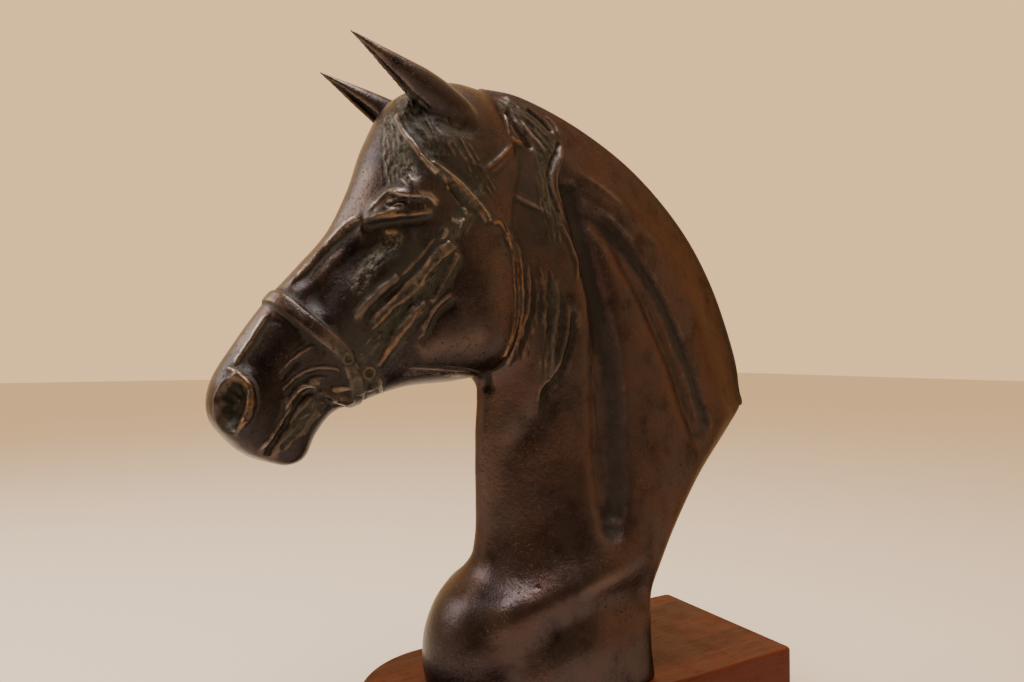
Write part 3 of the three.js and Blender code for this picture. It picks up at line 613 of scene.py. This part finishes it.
def seen(tree, spots):
    """The places of the skin that spots of the photograph show, in modelling coordinates."""
    x, y, z = CAMERA_PLACE
    eye = Vector((x, -y, z)) / MM - Vector((0, 0, BASE_TOP))
    ahead = Vector((*CAMERA_WAY, math.tan(math.radians(CAMERA_PITCH)))).normalized()
    right = ahead.cross(Vector((0, 0, 1))).normalized()
    up = right.cross(ahead)
    places = []
    for across, down in zip(spots[::2], spots[1::2]):
        way = PHOTO_FOCUS * ahead + (across - PHOTO_MIDDLE[0]) * right - (down - PHOTO_MIDDLE[1]) * up
        hit, _, _, _ = tree.ray_cast(eye, Vector((way.x, -way.y, way.z)).normalized())
        if hit:
            places.append(hit)
    return np.array(places)


def laid(tree, line, step):
    """A line laid on the skin, in short steps."""
    points = np.array(line, float)
    count = max(int(np.linalg.norm(np.diff(points, axis=0), axis=1).sum() / step), 2)
    points = along(points, np.linspace(0, 1, count + 1))
    return np.array([tree.find_nearest(Vector(p))[0] for p in points])


def chased(points, normals, line, right_reach, left_reach, square, fade):
    """The form of a chased line, 1 on the line and 0 away from it, on the points near it."""
    reach = FAR * max(right_reach, left_reach)
    low, high = line.min(0) - reach, line.max(0) + reach
    near = np.flatnonzero(((points > low) & (points < high)).all(1))
    form = np.zeros(len(points))
    if len(near) == 0:
        return form
    offset, segment, share = segment_offsets(points[near], line)
    way = np.diff(line, axis=0)[segment]
    side = (offset * np.cross(normals[near], way)).sum(1)
    wide = np.where(side > 0, right_reach, left_reach)
    distance = np.linalg.norm(offset, axis=1) / wide
    travelled = (segment + share) / (len(line) - 1)
    taper = 1.0
    if fade:
        taper = smoothstep(travelled, 0, fade) * smoothstep(1 - travelled, 0, fade)
    form[near] = np.exp(-(distance**square)) * taper
    return form


def value_noise(points, scale, seed):
    """Smooth random values between -1 and 1 on a lattice."""
    p = points / scale + 100.0
    cell = np.floor(p).astype(np.int64)
    f = p - cell
    f = f * f * (3 - 2 * f)
    total = np.zeros(len(points))
    for corner in range(8):
        bits = np.array([corner & 1, corner >> 1 & 1, corner >> 2])
        c = cell + bits
        mixed = (c[:, 0] * 73856093) ^ (c[:, 1] * 19349663) ^ (c[:, 2] * 83492791) ^ (seed * 2654435761)
        mixed = (mixed ^ (mixed >> 13)) * 1274126177 & 0x7FFFFFFF
        weight = np.where(bits, f, 1 - f).prod(1)
        total += weight * (mixed / 0x3FFFFFFF - 1)
    return total


def noseband_line(tree):
    """The noseband's path round the muzzle."""
    side = np.array(NOSEBAND_SIDE, float)
    low, high = side[-1], side[0]
    touches = []
    for forward, up in along(side, np.linspace(0, 1, BAND_POINTS)):
        hit, _, _, _ = tree.ray_cast(Vector((OUTSIDE, forward, up)), Vector((-1, 0, 0)))
        if hit and hit.x > 2:
            touches.append(tuple(hit))
    top = tuple(tree.find_nearest(Vector((0, *high)))[0])
    under = tuple(tree.find_nearest(Vector((0, *low)))[0])
    top = (0, top[1], top[2])
    under = (0, under[1], under[2])
    return np.array([top, *touches, under])


def ring_line(tree, center, radius):
    """A small circle laid on the skin."""
    _, normal, _, _ = tree.find_nearest(Vector(center))
    first = normal.orthogonal().normalized()
    second = normal.cross(first)
    turns = np.linspace(0, 2 * math.pi, RING_POINTS)
    spots = [Vector(center) + radius * (math.cos(a) * first + math.sin(a) * second) for a in turns]
    return np.array([tree.find_nearest(p)[0] for p in spots])


def sculpt(skin, look):
    """Chases the details into the bronze, and returns the coats that go with them."""
    tree = skin.tree()
    normals = skin.normals()
    mirror = np.column_stack([np.sign(skin.points[:, 0]), *np.ones((2, len(skin.points)))])
    q = skin.points * mirror
    qn = normals * mirror
    raised = np.zeros(len(q))
    coats = {name: np.zeros(len(q)) for name in COATS}
    hand = np.column_stack([value_noise(q, WANDER_SIZE, seed) for seed in WANDER_SEEDS])
    wandered = q + WANDER * hand
    uneven = 1 + UNEVENNESS * value_noise(q, UNEVEN_SIZE, UNEVEN_SEED)
    for _, spots, height, right, left, *profile in CHASING:
        square, fade, coat = (*profile, *USUAL_PROFILE[len(profile):])
        line = laid(tree, seen(tree, spots), STEP)
        form = chased(wandered, qn, line, right, left, square, fade)
        if max(right, left) < NARROW:
            form *= uneven
        raised += look.relief * height * form
        if coat:
            coats[coat] = np.maximum(coats[coat], form)
    for center, radius in RINGS:
        form = chased(q, qn, ring_line(tree, center, radius), WIRE, WIRE, 2, 0)
        raised += WIRE_RISE * form
        coats["gold"] = np.maximum(coats["gold"], form)
    half_width = look.noseband_width / MM / 2
    form = chased(q, qn, noseband_line(tree), half_width, half_width, BAND_SQUARE, 0)
    raised += look.noseband_rise / MM * form
    coats["worn"] = np.maximum(coats["worn"], form)
    crest = [(0, s[2], s[3]) for s in NECK_STATIONS[MANE_FIRST:]]
    crest = laid(tree, crest, LONG_STEP)
    form = chased(q, qn, crest, MANE_REACH, MANE_REACH, MANE_SQUARE, MANE_FADE)
    raised += look.mane_rise / MM * form
    coats["dark"] = np.maximum(coats["dark"], form)
    for _, spots, reach, height, grain, coat in ROUGH:
        line = seen(tree, spots)
        form = chased(q, qn, laid(tree, line, LONG_STEP), reach, reach, ROUGH_SQUARE, 0)
        near = form > LEAST_FORM
        way = line[-1] - line[0]
        way /= np.linalg.norm(way)
        strands = q[near] - STRAND_STRETCH * (q[near] @ way)[:, None] * way
        wander, size = STRAND_WANDER
        strands += wander * value_noise(q[near], size, 3)[:, None]
        coarse = value_noise(strands, grain, 1)
        fine = value_noise(strands, 0.5 * grain, 2)
        raised[near] += look.relief * form[near] * height * (0.1 + 0.75 * coarse + 0.4 * fine)
        if coat:
            coats[coat] = np.maximum(coats[coat], form)
    skin.points = skin.points + raised[:, None] * normals
    return coats


def blend(skin):
    """Evens the edges of the ears, and melts the ear roots and the shoulder ledge into the rest."""
    q = np.abs(skin.points[:, :1]) * (1, 0, 0) + skin.points * (0, 1, 1)
    offset, _, share = segment_offsets(q, np.array([EAR_ROOT, EAR_TIP], float))
    ear = (np.linalg.norm(offset, axis=1) < EAR_GIRTH) * smoothstep(share, *EAR_ROUNDED)
    skin.smooth(3, 0.5 * ear[:, None])
    share = np.zeros(len(q))
    for place, reach in BLENDS:
        share = np.maximum(share, np.exp(-((np.linalg.norm(q - place, axis=1) / reach) ** 4)))
    skin.smooth(BLEND_ROUNDS, 0.6 * share[:, None])


def bronze_skin(look):
    pieces = [closed_tube(*BODY_MESH, neck_shape), closed_tube(*BODY_MESH, head_shape)]
    for side in (-1, 1):
        pieces.append(closed_tube(*EAR_MESH, ear_shape(side)))
    obj = remeshed(join(pieces), VOXEL)
    skin = Skin(obj)
    skin.smooth(4, 0.5)
    blend(skin)
    coats = sculpt(skin, look)
    skin.smooth(1, 0.25)
    hollow = skin.hollowness()
    fine = (skin.points * (1, -1, 1) + (0, 0, BASE_TOP)) * MM
    fine = np.clip(fine, *np.array(cad_bounds))
    skin.points = fine
    skin.store()
    obj.data.flip_normals()
    faces = len(obj.data.polygons) * 2
    if faces > MOST_TRIANGLES:
        thin = obj.modifiers.new("Decimate", "DECIMATE")
        thin.ratio = MOST_TRIANGLES / faces
        applied(obj)
    paint(obj, fine, {**coats, **hollow})
    return obj


def paint(obj, points, layers):
    """Gives the finished points the layers of the nearest fine points."""
    tree = KDTree(len(points))
    for k, p in enumerate(points):
        tree.insert(p, k)
    tree.balance()
    nearest = [tree.find(v.co)[1] for v in obj.data.vertices]
    for name, values in layers.items():
        attribute = obj.data.attributes.new(name, "FLOAT", "POINT")
        attribute.data.foreach_set("value", values[nearest].astype(np.float32))
    obj.data.shade_smooth()


def make_material(name):
    material = bpy.data.materials.new(name)
    material.use_nodes = True
    return material


def wrap(bm, name):
    mesh = bpy.data.meshes.new(name)
    bm.to_mesh(mesh)
    bm.free()
    obj = bpy.data.objects.new(name, mesh)
    bpy.context.scene.collection.objects.link(obj)
    return obj


class Nodes:
    """Adds shader nodes to a material or world, and joins them to its shader."""

    def __init__(self, holder, shader="Principled BSDF"):
        self.tree = holder.node_tree
        self.shader = self.tree.nodes[shader]
        self.coords = self.add("ShaderNodeTexCoord", {})
        self.position = self.coords.outputs["Object"]
        self.colour = None

    def put(self, socket, value):
        if isinstance(value, bpy.types.NodeSocket):
            self.tree.links.new(value, socket)
        else:
            socket.default_value = value

    def add(self, kind, inputs, **settings):
        node = self.tree.nodes.new(kind)
        for name, value in settings.items():
            setattr(node, name, value)
        for name, value in inputs.items():
            self.put(node.inputs[name], value)
        return node

    def finish(self, name, value):
        self.put(self.shader.inputs[name], value)

    def layer(self, name):
        return self.add("ShaderNodeAttribute", {}, attribute_name=name).outputs["Fac"]

    def axis(self, letter):
        return self.add("ShaderNodeSeparateXYZ", {0: self.position}).outputs[letter]

    def stretched(self, scale):
        return self.add("ShaderNodeMapping", {"Vector": self.position, "Scale": scale}).outputs["Vector"]

    def noise(self, scale, detail=4.0, roughness=0.55, where=None):
        inputs = {"Vector": where or self.position, "Scale": scale}
        inputs.update({"Detail": detail, "Roughness": roughness})
        return self.add("ShaderNodeTexNoise", inputs).outputs["Fac"]

    def math(self, operation, *values):
        """One operation on all the values, taken from left to right."""
        result = values[0]
        for value in values[1:]:
            result = self.add("ShaderNodeMath", {0: result, 1: value}, operation=operation).outputs[0]
        return result

    def times(self, *values):
        return self.math("MULTIPLY", *values)

    def plus(self, *values):
        return self.math("ADD", *values)

    def most(self, *values):
        return self.math("MAXIMUM", *values)

    def band(self, value, low, high, at_low=0.0, at_high=1.0):
        """One value below low and another above high, with a soft step between them."""
        inputs = {"Value": value, "From Min": low, "From Max": high, "To Min": at_low, "To Max": at_high}
        return self.add("ShaderNodeMapRange", inputs, interpolation_type="SMOOTHSTEP").outputs["Result"]

    def mix(self, share, a, b):
        return self.add("ShaderNodeMix", {0: share, 6: a, 7: b}, data_type="RGBA").outputs[2]

    def cover(self, share, colour):
        """Lays a colour over the colours so far."""
        self.colour = self.mix(share, self.colour, solid(colour))

    def bump(self, height, distance, below=None):
        inputs = {"Height": height, "Distance": distance}
        if below:
            inputs["Normal"] = below
        return self.add("ShaderNodeBump", inputs).outputs["Normal"]


def solid(colour):
    return (*colour, 1.0)


def bronze_patina(look):
    """Dark cast bronze: brown patina, dirt in the hollows, wear on the edges and gold lines, with
    highlights, sheen, reflections and some shade painted into its colour.
    """
    material = make_material("bronze_patina")
    n = Nodes(material)
    broad = n.noise(19, 3)
    middle = n.noise(80, 5, 0.6)
    fine = n.noise(400, 5, 0.65)
    specks = n.noise(950, 2)
    pits = n.noise(620, 3, 0.7)
    hollow = n.layer("fine_hollow")
    deep = n.layer("broad_hollow")
    proud = n.times(hollow, -1.0)

    tone = n.plus(n.times(middle, 0.5), n.times(broad, 0.5), n.times(deep, -0.12))
    n.colour = n.mix(n.band(tone, 0.34, 0.68), solid(look.dark_patina), solid(look.light_patina))
    on_neck = n.band(n.axis("Y"), -0.085, -0.045)
    n.cover(n.times(on_neck, n.band(middle, 0.15, 0.6), 0.8), look.neck_patina)
    red = n.times(on_neck, n.band(n.noise(34, 4), 0.4, 0.62), n.band(deep, 0.9, -0.3))
    n.cover(n.times(red, 0.6), look.red_patina)
    # Painted sheen and reflections: broad lighter patches on the nasal plane, jowl, throat, chest and
    # shoulder, where the bronze catches the light.
    rubbed = n.times(n.layer("rubbed"), n.plus(0.35, n.times(fine, 0.9)))
    n.cover(n.times(rubbed, 0.75), look.painted_sheen_colour)
    speckled = n.times(n.band(specks, 0.54, 0.64), n.band(n.noise(46, 4), 0.42, 0.6))
    n.cover(n.times(speckled, 0.2), look.ochre_specks)
    # A greenish black film round the bridle, which is dirt, and on the temple pad painted shade.
    soot = n.times(n.layer("soot"), n.band(n.noise(110, 5, 0.65), 0.25, 0.6))
    n.cover(n.times(soot, 0.8), look.soot)
    pitted = n.times(n.band(pits, 0.6, 0.68), n.band(n.noise(30, 3), 0.45, 0.62))
    # Lighter colour on the proud edges, which is wear, and along lines whose coat also paints highlights, as
    # on the facial crest and the crest of the neck.
    worn = n.times(n.band(proud, 0.28, 0.85), n.band(middle, 0.3, 0.6))
    worn = n.most(worn, n.times(n.layer("worn"), n.band(fine, 0.3, 0.62), 0.55))
    n.cover(n.times(worn, 0.7), look.wear_and_highlight_colour)
    gold = n.times(n.band(n.layer("gold"), 0.3, 0.85), n.band(n.noise(160, 4, 0.6), 0.36, 0.66), 0.8)
    gold = n.times(gold, n.band(hollow, 0.5, -0.3))
    n.cover(gold, look.gold)
    # Painted highlight: a pale lilac colour laid along the lit ridges, lids, knobs and bridle lines, which
    # are also a little smoother, as polished metal.
    bright = n.times(n.band(n.layer("bright"), 0.25, 0.9), n.band(middle, 0.3, 0.55))
    n.cover(n.times(bright, 0.8), look.painted_highlight_colour)

    dirt = n.band(hollow, 0.16, 0.6)
    dirt = n.most(dirt, n.times(n.band(deep, 0.5, 1.2), n.band(middle, 0.4, 0.62), 0.5))
    n.cover(n.times(dirt, 0.85), look.dirt)
    green = n.times(n.layer("green"), n.band(fine, 0.36, 0.6))
    green = n.most(green, n.times(n.band(n.noise(58, 4, 0.6), 0.56, 0.7), dirt))
    n.cover(n.times(green, 0.75), look.green_dirt)
    lime = n.times(n.layer("lime"), n.band(n.noise(280, 4, 0.6), 0.38, 0.62), n.band(hollow, -0.5, 0.1))
    n.cover(n.times(lime, 0.8), look.lime_dirt)
    dark = n.times(n.layer("dark"), n.band(fine, 0.2, 0.5))
    n.cover(n.times(dark, 0.8), look.dark_groove)
    n.cover(n.times(pitted, 0.6), look.dirt)
    n.finish("Base Color", n.colour)

    dull = n.most(n.times(green, 0.6), n.times(lime, 0.75), n.times(dirt, 0.55))
    dull = n.most(dull, n.times(soot, 0.5), n.times(dark, 0.65))
    n.finish("Metallic", n.math("SUBTRACT", 0.92, dull))
    rough = n.plus(look.roughness - 0.11, n.times(middle, 0.14), n.times(fine, 0.08), n.times(dull, 0.45))
    n.finish("Roughness", n.math("SUBTRACT", rough, n.times(bright, 0.06)))

    n.finish("Specular Tint", n.mix(on_neck, solid((1, 1, 1)), solid(look.neck_sheen)))
    cast = n.bump(n.plus(n.times(middle, 0.7), n.times(fine, 0.3)), 0.0004)
    grain = n.bump(n.plus(n.times(fine, 0.6), n.times(specks, 0.4)), 0.00014, cast)
    n.finish("Normal", n.bump(n.times(pitted, -1.0), 0.00025, grain))
    return material


def mahogany_wood(look):
    """Polished mahogany with its grain along the base."""
    material = make_material("mahogany")
    n = Nodes(material)
    bands = n.noise(70, 4, 0.6, n.stretched((1, 0.09, 1.0)))
    grain = n.noise(420, 5, 0.7, n.stretched((1, 0.035, 1)))
    pores = n.noise(1500, 2, 0.5, n.stretched((1, 0.05, 1)))
    blotches = n.noise(24, 4)
    n.colour = n.mix(n.band(bands, 0.38, 0.64), solid(look.dark_wood), solid(look.red_wood))
    n.cover(n.times(n.band(grain, 0.5, 0.66), 0.35), look.light_wood)
    pored = n.band(pores, 0.58, 0.66)
    n.cover(n.times(pored, 0.5), look.pores)
    n.cover(n.times(n.band(blotches, 0.5, 0.7), 0.2), look.dark_wood)
    n.finish("Base Color", n.colour)
    rubbed = n.band(n.noise(60, 5, 0.65), 0.42, 0.66)
    n.finish("Roughness", n.plus(0.42, n.times(rubbed, 0.08), n.times(pored, 0.1)))
    n.finish("Specular IOR Level", 0.15)
    relief = n.bump(grain, 0.00008)
    n.finish("Normal", n.bump(n.times(pored, -1.0), 0.00005, relief))
    return material


def plank(size):
    """The base block: round at the front, with small rounded edges."""
    bm = bmesh.new()
    bmesh.ops.create_cube(bm, size=1)
    bmesh.ops.scale(bm, vec=(size.width, size.length, size.height), verts=bm.verts)
    bmesh.ops.translate(bm, vec=(0, 0, size.height / 2), verts=bm.verts)
    half_width = size.width / 2 - JOINT
    for end, offset, segments in ((-1, half_width, FRONT_SEGMENTS), (1, size.corner, CORNER_SEGMENTS)):
        upright = [
            e for e in bm.edges
            if abs(e.verts[0].co.z - e.verts[1].co.z) > size.height / 2
            and abs(e.verts[0].co.y - end * size.length / 2) < JOINT
        ]
        bmesh.ops.bevel(
            bm, geom=upright, offset=offset, segments=segments, profile=0.5, affect="EDGES", material=-1
        )
    bmesh.ops.remove_doubles(bm, verts=bm.verts, dist=3 * JOINT)
    rims = [e for e in bm.edges if abs(e.verts[0].co.z - e.verts[1].co.z) < JOINT]
    rims = [e for e in rims if abs(e.calc_face_angle()) > 1]
    bmesh.ops.bevel(
        bm, geom=rims, offset=size.edge, segments=EDGE_SEGMENTS, profile=0.5, affect="EDGES", material=-1
    )
    bmesh.ops.recalc_face_normals(bm, faces=bm.faces)
    return bm


def colour(name, description, default):
    return FloatVectorProperty(
        name=name, description=description, default=default, subtype="COLOR", size=3, min=0, max=1
    )


def length(name, description, default):
    return FloatProperty(name=name, description=description, default=default, unit="LENGTH", min=0)


def power(name, description, default):
    return FloatProperty(name=name, description=description, default=default, unit="POWER")


class HORSE_PG_bronze(bpy.types.PropertyGroup):
    """Sizes and colours of the bronze head"""

    relief: FloatProperty(
        name="Relief", description="How far the chased lines stand out", default=1, min=0, soft_max=2
    )
    mane_rise: length("Mane rise", "Height of the clipped mane's ridge", 0.0015)
    noseband_rise: length("Noseband rise", "Thickness of the noseband", 0.0013)
    noseband_width: length("Noseband width", "Width of the noseband", 0.0068)
    roughness: FloatProperty(
        name="Roughness", description="Gloss of the patina, lower is shinier", default=0.31, min=0.12, max=1
    )
    dark_patina: colour("Dark patina", "Darkest brown of the patina", (0.014, 0.0115, 0.0135))
    light_patina: colour("Light patina", "Lighter brown of the patina", (0.037, 0.031, 0.036))
    neck_patina: colour("Neck patina", "Brown of the neck", (0.066, 0.052, 0.055))
    red_patina: colour("Red patina", "Reddish brown of the neck", (0.078, 0.046, 0.044))
    ochre_specks: colour("Ochre specks", "Small specks on the smooth places", (0.12, 0.09, 0.07))
    # Colour of the painted sheen and reflections.
    painted_sheen_colour: colour("Painted sheen", "Sheen painted broadly on the bronze", (0.095, 0.07, 0.062))
    # Colour of the wear on the edges, also of the highlights painted along some lines.
    wear_and_highlight_colour: colour("Worn bronze and highlight", "Worn edges, and highlights painted along some lines", (0.12, 0.092, 0.082))
    # Colour of the painted highlights on the ridges.
    painted_highlight_colour: colour("Painted highlight", "Highlight painted on the polished ridges", (0.2, 0.175, 0.17))
    gold: colour("Gold", "Bare metal on strap edges and rings", (0.19, 0.11, 0.055))
    dirt: colour("Dirt", "Dirt in the hollows", (0.013, 0.0125, 0.012))
    green_dirt: colour("Green dirt", "Greenish dirt of the rough places", (0.031, 0.035, 0.027))
    # Colour of the greenish black dirt, also used as painted shade on the temple.
    soot: colour("Soot", "Greenish black film round the bridle, with painted shade on the temple", (0.013, 0.0145, 0.0125))
    lime_dirt: colour("Lime dirt", "Pale dirt of the forelock", (0.1, 0.112, 0.09))
    neck_sheen: colour("Neck sheen", "Tint of the neck's reflections seen flatly", (0.5, 0.43, 0.37))
    dark_groove: colour("Dark grooves", "Bluish black of the long neck grooves", (0.012, 0.0115, 0.013))


class HORSE_PG_base(bpy.types.PropertyGroup):
    """Sizes and colours of the wooden base"""

    length: length("Length", "From the round front to the back", 0.231)
    width: length("Width", "From side to side", 0.102)
    height: length("Height", "Thickness of the base", 0.05)
    edge: length("Edge rounding", "Radius of the upper and lower edges", 0.0015)
    corner: length("Corner rounding", "Radius of the back corners", 0.003)
    dark_wood: colour("Dark wood", "Dark bands of the grain", (0.045, 0.0072, 0.0034))
    red_wood: colour("Red wood", "Red bands of the grain", (0.085, 0.0155, 0.0063))
    light_wood: colour("Light wood", "Light streaks", (0.125, 0.027, 0.011))
    pores: colour("Pores", "Dark pores of the wood", (0.02, 0.006, 0.004))


class HORSE_PG_stage(bpy.types.PropertyGroup):
    """Floor and light of the stage"""

    floor: colour("Floor", "Colour of the floor", (0.8, 0.77, 0.7))
    room: FloatVectorProperty(
        name="Room light", description="Colour and strength of the room's light",
        default=(1.3, 0.8, 0.39), subtype="COLOR", size=3, min=0, soft_max=2,
    )
    shade: FloatProperty(
        name="Shade", description="Brightness of the room behind the viewer of the left side",
        default=0.22, min=0, max=1,
    )
    lamp: colour("Lamp", "Colour of the soft lamps", (1, 0.95, 0.9))
    top_power: power("Top lamp", "Power of the lamp above", 10)
    front_power: power("Front lamp", "Power of the lamp in front", 6)


GROUPS = {"horse_bronze": HORSE_PG_bronze, "horse_base": HORSE_PG_base, "horse_stage": HORSE_PG_stage}


class HORSE_OT_bronze(bpy.types.Operator):
    """Model the bronze head"""

    bl_idname = "horse.bronze"
    bl_label = "Bronze head"

    def execute(self, context):
        look = context.scene.horse_bronze
        obj = bronze_skin(look)
        obj.name = "bronze_head"
        obj.data.materials.clear()
        obj.data.materials.append(bronze_patina(look))
        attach(obj, "root")
        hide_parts("horse_head")
        return {"FINISHED"}


class HORSE_OT_base(bpy.types.Operator):
    """Model the wooden base"""

    bl_idname = "horse.base"
    bl_label = "Wooden base"

    def execute(self, context):
        look = context.scene.horse_base
        obj = wrap(plank(look), "mahogany_base")
        obj.data.shade_smooth()
        obj.modifiers.new("Even shading", "WEIGHTED_NORMAL")
        obj.data.materials.append(mahogany_wood(look))
        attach(obj, "root")
        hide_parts("wooden_base")
        return {"FINISHED"}


def aim(obj, place, target):
    obj.location = place
    obj.rotation_mode = "QUATERNION"
    obj.rotation_quaternion = (Vector(target) - Vector(place)).to_track_quat("-Z", "Y")


def soft_lamp(name, power, colour, place):
    lamp = bpy.data.lights.new(name, "AREA")
    lamp.energy = power
    lamp.color = colour
    lamp.size = LAMP_SIZE
    holder = bpy.data.objects.new(name, lamp)
    aim(holder, place, LIT_PLACE)
    bpy.context.scene.collection.objects.link(holder)


def room_light(look):
    """A world that is a little darker on the side the left view is seen from."""
    world = bpy.data.worlds.new("room")
    world.use_nodes = True
    n = Nodes(world, "Background")
    inputs = {0: n.coords.outputs["Generated"], 1: VIEW_SIDE}
    toward = n.add("ShaderNodeVectorMath", inputs, operation="DOT_PRODUCT").outputs["Value"]
    n.finish("Strength", n.band(toward, 0.1, 0.9, 1.0, look.shade))
    n.finish("Color", solid(look.room))
    return world


class HORSE_OT_stage(bpy.types.Operator):
    """Set the floor, the lights and the camera"""

    bl_idname = "horse.stage"
    bl_label = "Stage"

    def execute(self, context):
        look = context.scene.horse_stage
        bm = bmesh.new()
        bmesh.ops.create_grid(bm, x_segments=1, y_segments=1, size=FLOOR_SIZE)
        floor = wrap(bm, "floor")
        material = make_material("pale_floor")
        shader = material.node_tree.nodes["Principled BSDF"]
        shader.inputs["Base Color"].default_value = solid(look.floor)
        shader.inputs["Roughness"].default_value = 0.9
        floor.data.materials.append(material)
        context.scene.world = room_light(look)
        soft_lamp("soft_top", look.top_power, look.lamp, TOP_LAMP)
        soft_lamp("soft_front", look.front_power, look.lamp, FRONT_LAMP)
        camera = bpy.data.objects.new("camera", bpy.data.cameras.new("camera"))
        camera.data.sensor_width = SENSOR_WIDTH
        camera.data.lens = SENSOR_WIDTH * PHOTO_FOCUS / PHOTO_WIDTH
        camera.data.clip_start = 0.01
        pitch = math.radians(CAMERA_PITCH)
        way = Vector((*(math.cos(pitch) * Vector(CAMERA_WAY)), math.sin(pitch)))
        aim(camera, CAMERA_PLACE, Vector(CAMERA_PLACE) + way)
        context.scene.collection.objects.link(camera)
        context.scene.camera = camera
        return {"FINISHED"}


class HORSE_PT_panel(bpy.types.Panel):
    """Sizes, colours and builders of the horse head"""

    bl_idname = "HORSE_PT_panel"
    bl_label = "Bronze Horse Head"
    bl_space_type = "VIEW_3D"
    bl_region_type = "UI"
    bl_category = "Horse Head"

    def draw(self, context):
        parts = (
            ("horse_bronze", HORSE_OT_bronze), ("horse_base", HORSE_OT_base), ("horse_stage", HORSE_OT_stage)
        )
        for group, operator in parts:
            box = self.layout.box()
            box.operator(operator.bl_idname)
            for name in GROUPS[group].__annotations__:
                box.prop(getattr(context.scene, group), name)


OPERATORS = (HORSE_OT_bronze, HORSE_OT_base, HORSE_OT_stage)
CLASSES = (*GROUPS.values(), *OPERATORS, HORSE_PT_panel)


def register():
    for cls in CLASSES:
        bpy.utils.register_class(cls)
    for name, group in GROUPS.items():
        setattr(bpy.types.Scene, name, PointerProperty(type=group))


def unregister():
    for name in GROUPS:
        delattr(bpy.types.Scene, name)
    for cls in reversed(CLASSES):
        bpy.utils.unregister_class(cls)


def main():
    register()
    bpy.ops.horse.bronze()
    bpy.ops.horse.base()
    bpy.ops.horse.stage()


if __name__ == "__main__":
    main()
